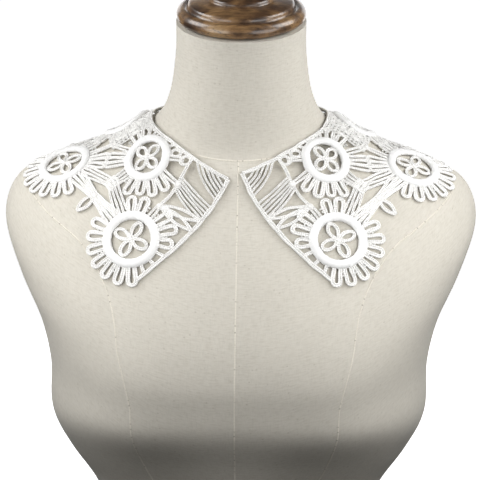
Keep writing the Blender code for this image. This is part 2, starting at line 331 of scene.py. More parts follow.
def make_board():
    """The fibreboard under the torso."""
    material, shader = new_material("base_board")
    n = Nodes(material)
    fibres = n.noise(n.coordinates("Object", (1.0, 1.0, 1.0)), 420.0, 5.0)
    tone = n.ramp(fibres, [(0.3, (0.30, 0.22, 0.14)), (0.7, (0.46, 0.36, 0.25))])
    n.join(tone, shader.inputs["Base Color"])
    n.join(n.bump(fibres, 0.2, 0.0004), shader.inputs["Normal"])
    shader.inputs["Roughness"].default_value = 0.8
    return material


# --------------------------------------------------------- the form's shape
# The part's own sections, repeated here: the heights of each section at the
# front, side and back, its half width, its centre in y, its depths to the
# front and back, and how square it is.
RINGS = np.array([
    (592, 607, 622,  52.5, -12,  53,  53, 2.0),    # neck top
    (573, 581, 589,  53.0,  -9,  53,  54, 2.0),
    (537, 549, 557,  58.0,  -4,  55,  57, 2.0),
    (505, 528, 532,  69.0,   0,  59,  62, 2.0),    # neck foot
    (488, 518, 519,  90.0,   2,  69,  70, 2.0),
    (465, 505, 498, 120.0,   3,  80,  82, 2.0),
    (437, 494, 470, 153.0,   3,  93,  92, 2.0),
    (407, 479, 440, 183.0,   3, 104, 100, 2.0),    # shoulder
    (380, 450, 415, 194.5,   3, 112, 104, 2.0),
    (355, 412, 387, 184.0,   2, 116, 106, 2.1),
    (330, 371, 357, 166.0,   0, 116, 104, 2.2),    # armpit
    (310, 330, 325, 157.0,   0, 114, 100, 2.2),
    (287, 288, 288, 156.0,   0, 110,  95, 2.2),    # bust
    (257, 257, 257, 142.0,   0,  97,  88, 2.2),
    (222, 222, 222, 119.5,   0,  86,  82, 2.1),
    (185, 185, 185, 107.0,   0,  83,  77, 2.0),
    (140, 140, 140, 104.0,   0,  84,  76, 2.0),    # waist
    ( 70,  70,  70, 127.0,   0,  98,  94, 2.1),
    ( 12,  12,  12, 146.0,   0, 104, 107, 2.2),    # hem
])
LAST_RING = len(RINGS) - 1
RINGS_LONGER = np.vstack([2 * RINGS[:1] - RINGS[1:2], RINGS, 2 * RINGS[-1:] - RINGS[-2:-1]])
SADDLE_ROUND = 0.35
BUST_OUT, BUST_HEIGHT, BUST_SWELL = 82.0, 297.0, 22.0
BUST_ACROSS, BUST_ABOVE, BUST_BELOW = 46.0, 75.0, 28.0
NECK_FOOT = 3

LACE_CLEAR = 1.2             # the lace's underside over the form
NECK_SPRING = 3.0            # more, where the lace bridges the foot of the neck
SPRING_DROP = 14.0
SPRING_REACH = 15.0
SPRING_FULL_AZIMUTH = 40.0


def ring_numbers(t):
    """The eight numbers of a section t rows down the table, by Catmull-Rom."""
    i = np.clip(np.floor(t).astype(int), 0, LAST_RING - 1)
    f = (t - i)[..., None]
    p0, p1, p2, p3 = (RINGS_LONGER[i + k] for k in range(4))
    curve = 2 * p1 + (p2 - p0) * f + (2 * p0 - 5 * p1 + 4 * p2 - p3) * f ** 2
    return (curve + (3 * p1 - 3 * p2 + p3 - p0) * f ** 3) / 2


def form_point(t, azimuth):
    """Points of the form's surface, in mm, for arrays of rows and azimuths."""
    t, azimuth = np.broadcast_arrays(np.asarray(t, float), np.asarray(azimuth, float))
    front, side, back, wide, middle, deep_front, deep_back, square = np.moveaxis(ring_numbers(t), -1, 0)
    c, s = np.cos(np.radians(azimuth)), np.sin(np.radians(azimuth))
    power = 2 / square
    x = wide * np.sign(s) * np.abs(s) ** power
    y = middle - np.where(c > 0, deep_front, deep_back) * np.sign(c) * np.abs(c) ** power
    k = SADDLE_ROUND
    saddle = (np.hypot(c, k) - k) / (math.hypot(1, k) - k)
    z = side + (front - back) / 2 * c + ((front + back) / 2 - side) * saddle
    rise = z - BUST_HEIGHT
    fade = np.where(rise > 0, BUST_ABOVE, BUST_BELOW)
    for bust_x in (-BUST_OUT, BUST_OUT):
        away = ((x - bust_x) / BUST_ACROSS) ** 2 + (rise / fade) ** 2
        y = y - BUST_SWELL * np.exp(-away / 2) * np.clip(3 * c, 0, 1)
    return np.stack([x, y, z], axis=-1)


def unit(vectors):
    return vectors / np.maximum(np.linalg.norm(vectors, axis=-1, keepdims=True), 1e-9)


def form_slopes(t, azimuth):
    """How the surface moves for one row down, and for one degree round."""
    step = 0.01
    down = (form_point(t + step, azimuth) - form_point(t - step, azimuth)) / (2 * step)
    round_way = (form_point(t, azimuth + step) - form_point(t, azimuth - step)) / (2 * step)
    return down, round_way


def form_normal(t, azimuth):
    down, round_way = form_slopes(t, azimuth)
    return unit(np.cross(down, round_way))


class DropChart:
    """Turns drops into rows and back, on a fine grid over the form's upper part."""
    rows = np.linspace(NECK_FOOT - 1.0, 11.0, 321)
    azimuths = np.arange(-12.0, 193.0, 1.0)

    def __init__(self):
        grid = form_point(self.rows[:, None], self.azimuths[None, :])
        steps = np.linalg.norm(np.diff(grid, axis=0), axis=-1)
        self.drops = np.concatenate([np.zeros((1, len(self.azimuths))), np.cumsum(steps, axis=0)])
        foot = np.searchsorted(self.rows, NECK_FOOT)
        self.drops -= self.drops[foot]

    def column(self, azimuth):
        j = min(max(azimuth - self.azimuths[0], 0.0), len(self.azimuths) - 1.001)
        k, f = int(j), j - int(j)
        return self.drops[:, k] * (1 - f) + self.drops[:, k + 1] * f

    def row(self, azimuth, drop):
        return float(np.interp(drop, self.column(azimuth), self.rows))

    def drop(self, t, azimuth):
        """Drops for arrays of rows and azimuths."""
        i = np.interp(t, self.rows, np.arange(len(self.rows)))
        j = np.clip(azimuth - self.azimuths[0], 0, len(self.azimuths) - 1.001)
        i0 = np.minimum(i.astype(int), len(self.rows) - 2)
        j0 = j.astype(int)
        fi, fj = i - i0, j - j0
        upper = self.drops[i0, j0] * (1 - fj) + self.drops[i0, j0 + 1] * fj
        lower = self.drops[i0 + 1, j0] * (1 - fj) + self.drops[i0 + 1, j0 + 1] * fj
        return upper * (1 - fi) + lower * fi


CHART = DropChart()


class Finder:
    """Finds the place on the form that is nearest to a point in space."""

    def __init__(self):
        rows = np.arange(NECK_FOOT - 0.8, 10.0, 0.2)
        azimuths = np.arange(-10.0, 191.0, 3.0)
        self.seeds = [(t, a) for t in rows for a in azimuths]
        self.tree = KDTree(len(self.seeds))
        points = form_point(*np.array(self.seeds).T)
        for k, p in enumerate(points):
            self.tree.insert(p, k)
        self.tree.balance()

    def settle(self, points):
        """Rows and azimuths of the nearest places, by Gauss-Newton from a seed."""
        start = np.array([self.seeds[self.tree.find(p)[1]] for p in points])
        t, azimuth = start[:, 0], start[:, 1]
        for _ in range(8):
            down, round_way = form_slopes(t, azimuth)
            miss = points - form_point(t, azimuth)
            dd, rr, dr = (down * down).sum(1), (round_way * round_way).sum(1), (down * round_way).sum(1)
            md, mr = (miss * down).sum(1), (miss * round_way).sum(1)
            det = np.maximum(dd * rr - dr * dr, 1e-9)
            t = t + np.clip((md * rr - mr * dr) / det, -0.3, 0.3)
            azimuth = azimuth + np.clip((mr * dd - md * dr) / det, -6.0, 6.0)
        return t, azimuth


FINDER = Finder()


def smooth_step(f):
    f = np.clip(f, 0, 1)
    return f * f * (3 - 2 * f)


def lace_lift(azimuth, drop):
    """The gap between the form and the underside of the lace."""
    ease = smooth_step(np.abs(azimuth) / SPRING_FULL_AZIMUTH)
    return LACE_CLEAR + NECK_SPRING * np.exp(-(((drop - SPRING_DROP) / SPRING_REACH) ** 2)) * ease


# ------------------------------------------------------- lines on the lace
CORD_STEP = 1.3              # between the sections of a cord, in mm
PETAL_CORD = 3.4             # widths of the lace's cords: a petal's ...
CORD = 3.0                   # ... a border's, a leaf's or a flower's ...
BAR = 2.2                    # ... a plain bar's ...
FINE = 1.7                   # ... the net's and the ladders' ...
THREAD = 1.4                 # ... and the little bridges between petals
BRIDGES_OUT = (2.6, 5.4)
CORD_HIGH = 1.2


def place(azimuth, drop):
    """The point of the form at an azimuth and a drop."""
    return form_point(CHART.row(azimuth, drop), azimuth)


def through(points, closed=False):
    """A smooth line through points, sampled every CORD_STEP."""
    points = [np.asarray(p, float) for p in points]
    if len(points) == 2:
        points.insert(1, (points[0] + points[1]) / 2)
    if closed:
        ends = [points[-1]] + points + points[:2]
    else:
        ends = [2 * points[0] - points[1]] + points + [2 * points[-1] - points[-2]]
    f = np.linspace(0, 1, 16, endpoint=False)[:, None]
    fine = []
    for p0, p1, p2, p3 in zip(ends, ends[1:], ends[2:], ends[3:]):
        a, b, c = (max(np.linalg.norm(q - p) ** 0.5, 1e-6) for p, q in ((p0, p1), (p1, p2), (p2, p3)))
        leave = b * ((p1 - p0) / a - (p2 - p0) / (a + b) + (p2 - p1) / b)
        reach = b * ((p2 - p1) / b - (p3 - p1) / (b + c) + (p3 - p2) / c)
        fine.append(
            (2 * f ** 3 - 3 * f ** 2 + 1) * p1 + (f ** 3 - 2 * f ** 2 + f) * leave
            + (3 * f ** 2 - 2 * f ** 3) * p2 + (f ** 3 - f ** 2) * reach
        )
    fine = np.concatenate(fine + ([points[:1]] if closed else [points[-1:]]))
    gone = np.concatenate([[0], np.cumsum(np.linalg.norm(np.diff(fine, axis=0), axis=1))])
    count = max(4, round(gone[-1] / CORD_STEP) + 1)
    at = np.linspace(0, gone[-1], count)
    line = np.stack([np.interp(at, gone, fine[:, k]) for k in range(3)], axis=1)
    return line[:-1] if closed else line


RING_WIDE = 7.4
SIT = 2.5                    # how far cords run in under a ring


class Wheel:
    """A padded ring and the plane that touches the form at its middle.

    Angles turn from the neck's side round by way of increasing azimuth.
    """

    def __init__(self, name, azimuth, drop, radius, first_petal):
        self.name, self.azimuth, self.radius, self.first_petal = name, azimuth, radius, first_petal
        t = CHART.row(azimuth, drop)
        self.middle = form_point(t, azimuth)
        self.normal = form_normal(t, azimuth)
        self.down = unit(form_slopes(t, azimuth)[0])
        self.round_way = np.cross(self.normal, self.down)

    def at(self, angle, radius, across=0.0):
        """A point at an angle and a radius; across is sideways, clockwise."""
        a = math.radians(angle)
        out = math.sin(a) * self.round_way - math.cos(a) * self.down
        sideways = math.cos(a) * self.round_way + math.sin(a) * self.down
        return self.middle + out * radius + sideways * across

    def angle_to(self, point):
        away = np.asarray(point) - self.middle
        return math.degrees(math.atan2(away @ self.round_way, -(away @ self.down))) % 360


# The part's own rings, repeated here: azimuth, drop and outer radius, then the angle of a first petal.
WHEELS = {w.name: w for w in (
    Wheel("front", 29.5, 88.0, 23.5, 11.0),
    Wheel("neck_front", 47.5, 24.0, 20.9, 20.0),
    Wheel("shoulder", 76.5, 81.0, 22.6, 5.0),
    Wheel("neck_side", 100.0, 27.0, 20.9, 8.0),
    Wheel("blade", 118.5, 82.0, 22.2, 6.0),
    Wheel("neck_back", 145.0, 27.0, 20.9, 12.0),
    Wheel("back", 159.0, 82.0, 22.2, 3.0),
)}


# The borders are rules of azimuth and drop, just inside the panel's edges.
TIP_AZIMUTH, TIP_DROP = 2.0, 17.0
FRONT_SLOPE = 4.6            # mm down the front border for each degree round
FRONT_END = 116.0
NECK_DROP = 1.0
NECK_LEVEL_AZIMUTH = 45.0    # the neck border runs level from here
NECK_EASE = 1.3
BACK_SEAM = 179.35           # azimuth of the cord down the centre back
BACK_END = 112.0


def front_azimuth(drop):
    """The front border, which slants away from the tip."""
    return TIP_AZIMUTH + (drop - TIP_DROP) / FRONT_SLOPE


def neck_drop(azimuth):
    """The neck border, which falls to the tip."""
    share = np.clip((NECK_LEVEL_AZIMUTH - azimuth) / (NECK_LEVEL_AZIMUTH - TIP_AZIMUTH), 0, 1)
    return NECK_DROP + (TIP_DROP - NECK_DROP) * share ** NECK_EASE


def settle_on_form(point):
    """The azimuth and drop nearest to a point in space."""
    t, azimuth = FINDER.settle(np.asarray(point)[None])
    return float(azimuth[0]), float(CHART.drop(t, azimuth)[0])


def clear_of_rings(point):
    return all(np.linalg.norm(point - wheel.middle) > wheel.radius for wheel in WHEELS.values())


PETAL_LONG = 15.2            # beyond the ring
PETAL_SHORT = 7.5            # with less room than this a plain bar takes its place
PETAL_COUNT = 18
PETAL_LEG, PETAL_ROOT = 3.1, 2.3
CROWDED = 13.0               # degrees between petals
BAR_PAST = 2.2               # how far a plain bar runs on, into what stopped it
BORDER_GAP = 1.2


class Drawing:
    """The cords, knots and petals of one half of the collar."""

    def __init__(self):
        self.strokes = []        # line, closed, width, how far it is raised
        self.knots = []          # place, radius, height
        self.petals = {name: [] for name in WHEELS}

    def stroke(self, points, width=CORD, closed=False, raised=0.0):
        self.strokes.append((through(points, closed), closed, width, raised))

    def cord(self, *places, width=BAR, closed=False):
        """A cord through places given as azimuth and drop."""
        self.stroke([place(*p) for p in places], width, closed)

    def knot(self, point, radius=2.8, height=1.9):
        self.knots.append((np.asarray(point), radius, height))

    def circle(self, azimuth, drop, radius, width=BAR):
        """A small cord ring at a place on the lace."""
        t = CHART.row(azimuth, drop)
        middle = form_point(t, azimuth)
        down, round_way = (unit(v) for v in form_slopes(t, azimuth))
        turns = np.radians(np.arange(0, 360, 30))
        points = [middle + (down * math.cos(a) + round_way * math.sin(a)) * radius for a in turns]
        self.stroke(points, width, closed=True)

    def petal(self, wheel, angle, reach, leg=PETAL_LEG, root_leg=PETAL_ROOT, cord=PETAL_CORD):
        """A loop that leaves the ring at an angle, turns round at its reach and comes back."""
        start = wheel.radius - SIT
        bend = reach - cord / 2 - leg
        side = [(start, root_leg), ((start + bend) / 2, (root_leg + leg) / 2)]
        points = [wheel.at(angle, r, -across) for r, across in side]
        for turn in range(-90, 91, 30):
            a = math.radians(turn)
            points.append(wheel.at(angle, bend + leg * math.cos(a), leg * math.sin(a)))
        points += [wheel.at(angle, r, across) for r, across in reversed(side)]
        self.stroke(points, cord)
        self.petals[wheel.name].append(angle % 360)

    def flower(self, wheel):
        """Four egg-shaped loops that meet in a knot in the middle of the ring."""
        egg = [(0.14, 0.8), (0.34, 2.7), (0.58, 3.6), (0.80, 3.0), (0.95, 1.3)]
        tip = wheel.radius - RING_WIDE - 1.1
        for k in range(4):
            angle = 90 * k
            points = [wheel.at(angle, tip * along, -across) for along, across in egg]
            points += [wheel.at(angle, tip * along, across) for along, across in reversed(egg)]
            self.stroke(points, CORD, closed=True, raised=0.06 * k)
        self.knot(wheel.middle, 2.6, 1.8)

    def bridges(self, wheel):
        """Little bars between neighbouring petals, near the ring."""
        angles = sorted(self.petals[wheel.name])
        for angle, following in zip(angles, angles[1:] + [angles[0] + 360]):
            if following - angle > 30:
                continue
            middle = (angle + following) / 2
            for out in BRIDGES_OUT:
                half = 0.4 + out * 0.16
                ends = [wheel.at(middle, wheel.radius + out, side * half) for side in (-1, 1)]
                self.stroke(ends, THREAD)

    def spokes(self, wheel, point, count=2, apart=3.2, meet=2.6, width=BAR):
        """Bars side by side from a ring to a point, closer together there."""
        angle = wheel.angle_to(point)
        for k in range(count):
            step = k - (count - 1) / 2
            start = wheel.at(angle, wheel.radius - SIT, step * apart)
            self.stroke([start, point + (wheel.at(angle, 0, step * meet) - wheel.middle)], width)
        self.petals[wheel.name].append(angle)

    def from_ring(self, wheel, spot, width=BAR):
        """A bar from a ring straight to a place."""
        point = place(*spot)
        self.stroke([wheel.at(wheel.angle_to(point), wheel.radius - SIT), point], width)

    def lattice(self, point, along, across, reach=5.6, spread=4.4):
        """A closely woven patch: bars both ways over a place, with small holes left between."""
        for step in (-1.0, -1 / 3, 1 / 3, 1.0):
            side = across * spread * step
            self.stroke([point + side - along * reach, point + side + along * reach], 2.0)
            shift = along * reach * 0.85 * step
            end = across * (spread + 1)
            self.stroke([point + shift - end, point + shift + end], BAR, raised=0.15)

    def leaf(self, start, end, bulge, width=CORD):
        """Two bowed cords that part at one place and meet at another, bulge mm out at the middle."""
        first, last = place(*start), place(*end)
        t, azimuth = FINDER.settle(((first + last) / 2)[None])
        sideways = np.cross(form_normal(t, azimuth)[0], unit(last - first))
        for side in (-1, 1):
            bow = [first + (last - first) * f + sideways * side * bulge * math.sin(math.pi * f)
                   for f in (0.0, 0.25, 0.5, 0.75, 1.0)]
            self.stroke(bow, width)

    def ladder(self, upper, lower, first, last, step=3.5):
        """Short bars from one level to another, round the neck from one azimuth to another."""
        for azimuth in np.arange(first, last, step):
            self.cord((azimuth, upper), (azimuth + step / 2, lower), width=FINE)

    def net(self, first, last, upper, lower, turn_step=2.4, drop_step=3.6):
        """A ground of fine bars both ways, where the wheels leave room between two azimuths."""
        azimuths, drops = np.arange(first, last, turn_step), np.arange(upper, lower, drop_step)
        rows = [[(azimuth, drop) for azimuth in azimuths] for drop in drops]
        for row in rows + list(zip(*rows)):
            run = []
            for spot in list(row) + [None]:
                if spot and clear_of_rings(place(*spot)):
                    run.append(spot)
                    continue
                if len(run) > 1:
                    self.cord(*run, width=FINE)
                run = []


def free_reach(wheel, angle):
    """How far a petal may reach before it meets another wheel's petals or a border."""
    most = wheel.radius + PETAL_LONG
    for reach in np.arange(wheel.radius + 1.0, most, 0.5):
        tip = wheel.at(angle, reach)
        for other in WHEELS.values():
            gap = np.linalg.norm(tip - other.middle) - other.radius
            if other is not wheel and gap < reach - wheel.radius:
                return reach
        azimuth, drop = settle_on_form(tip)
        past_front = drop < FRONT_END and azimuth < front_azimuth(drop) + BORDER_GAP
        if past_front or drop < neck_drop(azimuth) + BORDER_GAP or azimuth > BACK_SEAM - BORDER_GAP:
            return reach
    return most


def draw_wheel(d, wheel):
    """Petals evenly round a ring, as long as there is room for, and bars where there is little."""
    taken = list(d.petals[wheel.name])
    for k in range(PETAL_COUNT):
        angle = (wheel.first_petal + 360 * k / PETAL_COUNT) % 360
        if any(abs((angle - other + 180) % 360 - 180) < CROWDED for other in taken):
            continue
        reach = free_reach(wheel, angle)
        if reach > wheel.radius + PETAL_SHORT:
            d.petal(wheel, angle, reach)
        else:
            d.stroke([wheel.at(angle, wheel.radius - SIT), wheel.at(angle, reach + BAR_PAST)], CORD)
    d.flower(wheel)
    d.bridges(wheel)


# Where wheels leave a gap between them: a woven patch or a knot fills it.
GAPS = [
    (("front", "neck_front", "shoulder"), "patch"),
    (("shoulder", "neck_side", "blade"), "patch"),
    (("blade", "neck_back", "back"), "patch"),
    (("neck_front", "shoulder", "neck_side"), "knot"),
    (("neck_side", "blade", "neck_back"), "knot"),
]
HEM_PAIRS = [("front", "shoulder"), ("shoulder", "blade"), ("blade", "back")]
JOINED_PAIRS = [
    ("neck_front", "shoulder"), ("neck_side", "shoulder"), ("neck_side", "blade"), ("neck_back", "back"),
]
JOINED_TURNS = (-16.0, 0.0, 16.0)


def draw_gap(d, names, kind):
    """A patch or a knot in the middle of a gap, with bars to each ring round it."""
    wheels = [WHEELS[name] for name in names]
    azimuth, drop = settle_on_form(sum(wheel.middle for wheel in wheels) / len(wheels))
    point = place(azimuth, drop)
    for wheel in wheels:
        d.spokes(wheel, point, count=4 if kind == "patch" else 2, apart=3.4)
    if kind == "knot":
        d.knot(point)
        return
    t = CHART.row(azimuth, drop)
    along = unit(form_slopes(t, azimuth)[0])
    d.lattice(point, along, np.cross(form_normal(t, azimuth), along))


def draw_joined_petals(d, names):
    """Petals of two wheels that meet tip to tip, half way between their rings."""
    first, second = (WHEELS[name] for name in names)
    for turn in JOINED_TURNS:
        ends = [(first, first.angle_to(second.middle) + turn), (second, second.angle_to(first.middle) - turn)]
        meeting = sum(wheel.at(angle, wheel.radius) for wheel, angle in ends) / 2
        for wheel, _ in ends:
            reach = np.linalg.norm(meeting - wheel.middle) + 1.2
            if reach > wheel.radius + PETAL_SHORT:
                d.petal(wheel, wheel.angle_to(meeting), reach, leg=2.1, root_leg=2.0, cord=2.8)


def draw_hem_leaf(d, names):
    """The knot where two outer wheels meet, with bars to their rings and a leaf hanging from it."""
    first, second = (WHEELS[name] for name in names)
    azimuth, drop = settle_on_form((first.middle + second.middle) / 2)
    knot = (azimuth, drop)
    for wheel in (first, second):
        d.spokes(wheel, place(*knot), count=4, apart=4.2, meet=1.6, width=CORD)
    d.knot(place(*knot), 3.3, 2.2)
    d.leaf(knot, (azimuth, drop + LEAF_LONG), LEAF_BULGE)


# The fan: its knot, and the knot of the leaves under it, between the borders and the wheels.
FAN_KNOT = (24.0, 32.0)
LEAF_KNOT = (26.5, 54.0)
FAN_BARS = 6
FAN_STEP = 2.9
TIP_BARS = 5
TIP_STEP = 3.1
LEAF_LONG, LEAF_BULGE = 18.0, 3.8


def draw_front(d):
    """The borders' corner: bars across the tip, small rings, a fan of bars and two leaves."""
    drops = np.linspace(TIP_DROP, FRONT_END, 8)
    d.cord(*((front_azimuth(drop), drop) for drop in drops), width=3.4)
    azimuths = list(np.arange(TIP_AZIMUTH, NECK_LEVEL_AZIMUTH, 6.0)) + list(range(50, 180, 10)) + [BACK_SEAM]
    d.cord(*((azimuth, neck_drop(azimuth)) for azimuth in azimuths), width=CORD)
    for k in range(TIP_BARS):
        azimuth, drop = 8.5 + TIP_STEP * k, TIP_DROP + 7.0 + TIP_STEP * k
        middle = (0.5 * (azimuth + front_azimuth(drop)) + 0.4, 0.5 * (neck_drop(azimuth) + drop))
        d.cord((azimuth, neck_drop(azimuth)), middle, (front_azimuth(drop), drop), width=FINE)
    for azimuth in (26.5, 34.5):
        d.circle(azimuth, neck_drop(azimuth) + 5.6, 3.8, 2.7)
    for k in range(FAN_BARS):
        root = (FAN_KNOT[0] + 0.2, FAN_KNOT[1] + (k - 0.5 * FAN_BARS) * 0.8 * FAN_STEP)
        drop = 43.0 + FAN_STEP * k
        middle = ((root[0] + front_azimuth(drop)) / 2, (root[1] + drop) / 2 - 1.0)
        d.cord(root, middle, (front_azimuth(drop), drop), width=FINE)
    d.knot(place(*FAN_KNOT), 3.2)
    d.knot(place(*LEAF_KNOT), 2.9)
    for spot in (FAN_KNOT, (27.5, 12.0)):
        d.spokes(WHEELS["neck_front"], place(*spot), count=2)
    d.cord((23.5, neck_drop(23.5)), (24.2, 21.0), FAN_KNOT, width=2.7)
    d.cord(FAN_KNOT, (24.8, 43.0), LEAF_KNOT, width=2.7)
    for drop in (55.5, 65.0):
        d.leaf((front_azimuth(drop), drop), LEAF_KNOT, 3.2, width=2.7)
    front = WHEELS["front"]
    d.spokes(front, place(*LEAF_KNOT))
    end = place(front_azimuth(FRONT_END), FRONT_END)
    d.stroke([end, front.at(front.angle_to(end), front.radius - SIT)], CORD)


BACK_RUNS = [("neck_back", 14.0, 52.0, 6.0), ("back", 58.0, BACK_END, 7.0)]
NET_LEVELS = (4.2, 7.4)      # drops of the cords inside the neck border


def draw_neck_and_back(d):
    """The ladders and net inside the neck border, and the join down the centre back."""
    for level in NET_LEVELS:
        d.cord(*((azimuth, level) for azimuth in range(66, 180, 6)), width=FINE)
    d.ladder(NECK_DROP, NET_LEVELS[0], 52.0, 66.0)
    d.ladder(NECK_DROP, NET_LEVELS[1], 66.0, 178.0)
    d.net(70.0, 99.0, NET_LEVELS[1], 40.0)
    d.cord(*((BACK_SEAM, drop) for drop in np.linspace(NECK_DROP, BACK_END, 8)), width=BAR)
    for name, first, last, step in BACK_RUNS:
        for drop in np.arange(first, last, step):
            d.from_ring(WHEELS[name], (BACK_SEAM - 0.8, drop))


def draw_half():
    d = Drawing()
    draw_front(d)
    for names, kind in GAPS:
        draw_gap(d, names, kind)
    for names in JOINED_PAIRS:
        draw_joined_petals(d, names)
    for names in HEM_PAIRS:
        draw_hem_leaf(d, names)
    draw_neck_and_back(d)
    for wheel in WHEELS.values():
        draw_wheel(d, wheel)
    return d


# ------------------------------------------------------------ cords to mesh
# A cord's section: across and up, as shares of its width and height. Two
# rounded rows with a groove between them.
CORD_SECTION = np.array([
    (-0.50, 0.10), (-0.48, 0.58), (-0.36, 0.94), (-0.20, 0.98), (-0.07, 0.66), (0.0, 0.38),
    (0.07, 0.66), (0.20, 0.98), (0.36, 0.94), (0.48, 0.58), (0.50, 0.10), (0.0, -0.04),
])
WOBBLE = 0.35                # how far a cord strays from its line, in mm
WOBBLE_STEP = 7.0            # about how often it strays, in steps
SWELL = 0.13                 # how much its width varies
KNOT_SIDES = 12
KNOT_RINGS = 4
SLIP_TURN, SLIP_TURN_FADE = 3.2, 85.0       # degrees outwards, less with each mm of drop
SLIP_DROP = 2.4                             # mm down ...
SLIP_TIP, SLIP_TIP_FADE = 3.6, 10.0         # ... and more at the front tip


def smooth_noise(rng, count, knots):
    """A smooth random line from -1 to 1."""
    values = rng.uniform(-1, 1, knots + 3)
    at = np.linspace(0, knots, count)
    i = np.minimum(at.astype(int), knots)
    f = smooth_step(at - i)
    return values[i] * (1 - f) + values[i + 1] * f


def slip(t, azimuth):
    """Where a place on the lace ends up on the wearer's right, which has slipped a little."""
    drop = CHART.drop(t, azimuth)
    front = 1 - smooth_step((azimuth - 50) / 50)
    turned = azimuth + SLIP_TURN * np.exp(-drop / SLIP_TURN_FADE) * front
    back = 1 - smooth_step((azimuth - 90) / 80)
    fallen = drop + (SLIP_DROP + SLIP_TIP * np.exp(-azimuth / SLIP_TIP_FADE)) * back
    rows = np.array([CHART.row(a, d) for a, d in zip(turned, fallen)])
    return rows, turned


def lay(points, side):
    """Where points lie on the lace's underside, with the normals there."""
    t, azimuth = FINDER.settle(points)
    if side < 0:
        t, azimuth = slip(t, azimuth)
    normals = form_normal(t, azimuth)
    lift = lace_lift(azimuth, CHART.drop(t, azimuth))
    return form_point(t, azimuth) + normals * lift[:, None], normals


class Skin:
    """Collects sections into one mesh: vertices, faces and UVs."""

    def __init__(self):
        self.verts, self.faces, self.uvs, self.count = [], [], [], 0

    def loft(self, rings, lengths, closed):
        """Faces between sections; an open loft gets its two ends filled."""
        count, wide = rings.shape[:2]
        i = np.arange(count if closed else count - 1)[:, None]
        j = np.arange(wide)[None]
        here, beside = i * wide + j, i * wide + (j + 1) % wide
        ahead, corner = ((i + 1) % count) * wide + j, ((i + 1) % count) * wide + (j + 1) % wide
        quads = np.stack([here, ahead, corner, beside], axis=-1).reshape(-1, 4) + self.count
        self.faces += quads.tolist()
        if not closed:
            last = self.count + (count - 1) * wide
            self.faces.append([self.count + k for k in range(wide)])
            self.faces.append([last + k for k in reversed(range(wide))])
        self.verts.append(rings.reshape(-1, 3))
        self.uvs.append(np.stack([np.repeat(lengths, wide), np.tile(np.arange(wide) / wide, count)], axis=1))
        self.count += count * wide

    def build(self, name, material, side=1):
        """A smooth object of the mm points; side -1 mirrors it to the wearer's right."""
        verts = np.concatenate(self.verts) * MM * np.array([side, 1, 1])
        faces = self.faces if side > 0 else [f[::-1] for f in self.faces]
        mesh = bpy.data.meshes.new(name)
        mesh.from_pydata(verts.tolist(), [], faces)
        corner_verts = np.empty(len(mesh.loops), int)
        mesh.loops.foreach_get("vertex_index", corner_verts)
        layer = mesh.uv_layers.new(name="UVMap")
        layer.data.foreach_set("uv", np.concatenate(self.uvs)[corner_verts].ravel())
        mesh.shade_smooth()
        mesh.materials.append(material)
        item = bpy.data.objects.new(name, mesh)
        bpy.context.scene.collection.objects.link(item)
        return item


def lay_cords(skin, strokes, side, rng):
    """Sweeps every stroke over the form, a little unevenly, as real cord lies."""
    base, normals = lay(np.concatenate([line for line, *_ in strokes]), side)
    start = 0
    for line, closed, width, raised in strokes:
        count = len(line)
        p, n = base[start:start + count], normals[start:start + count]
        start += count
        along = unit(np.roll(p, -1, axis=0) - np.roll(p, 1, axis=0)) if closed else unit(np.gradient(p, axis=0))
        across = unit(np.cross(n, along))
        knots = max(2, int(count / WOBBLE_STEP))
        stray, swell = smooth_noise(rng, count, knots), smooth_noise(rng, count, knots + 2)
        index = np.arange(count)
        ease = np.clip(np.minimum(index, index[::-1]) / 4, 0, 1)
        p = p + across * (WOBBLE * stray * ease)[:, None] + n * (raised + rng.uniform(0, 0.12))
        size = (1 + SWELL * swell * ease)[:, None, None]
        rings = p[:, None] + across[:, None] * (CORD_SECTION[None, :, :1] * width * size)
        rings = rings + n[:, None] * (CORD_SECTION[None, :, 1:] * CORD_HIGH * size)
        skin.loft(rings, index * CORD_STEP * MM, closed)


def lay_knots(skin, knots, side):
    """Low rounded lumps where cords are sewn together."""
    base, normals = lay(np.array([point for point, *_ in knots]), side)
    turns = np.radians(np.arange(KNOT_SIDES) * 360 / KNOT_SIDES)
    for middle, normal, (_, radius, height) in zip(base, normals, knots):
        first = unit(np.cross(normal, (0.0, 0.0, 1.0)))
        second = np.cross(normal, first)
        rim = np.cos(turns)[:, None] * second + np.sin(turns)[:, None] * first
        rings = [middle + rim * radius * 0.96]
        for k in range(KNOT_RINGS):
            rise = math.radians(90 * k / KNOT_RINGS + 8)
            rings.append(middle + rim * radius * math.cos(rise) + normal * height * math.sin(rise))
        skin.loft(np.array(rings), np.arange(len(rings)) * 0.6 * MM, closed=False)


# -------------------------------------------------------------- the rings
RING_HIGH = 3.2
RING_ACROSS = 12
RING_STITCH = 0.7            # one satin stitch along the ring's middle
RING_GROOVE = 0.07
RING_UNEVEN = 0.2


def ring_section(wide):
    """A half oval, as across and up from the ring's middle line, and its flat underside."""
    section = []
    for k in range(RING_ACROSS):
        a = math.radians(-90 + 180 * k / (RING_ACROSS - 1))
        section.append((math.sin(a) * wide / 2, RING_HIGH * math.cos(a) ** 0.7 if abs(a) < 1.57 else 0.0))
    return np.array(section + [(wide / 4, -0.05), (-wide / 4, -0.05)])


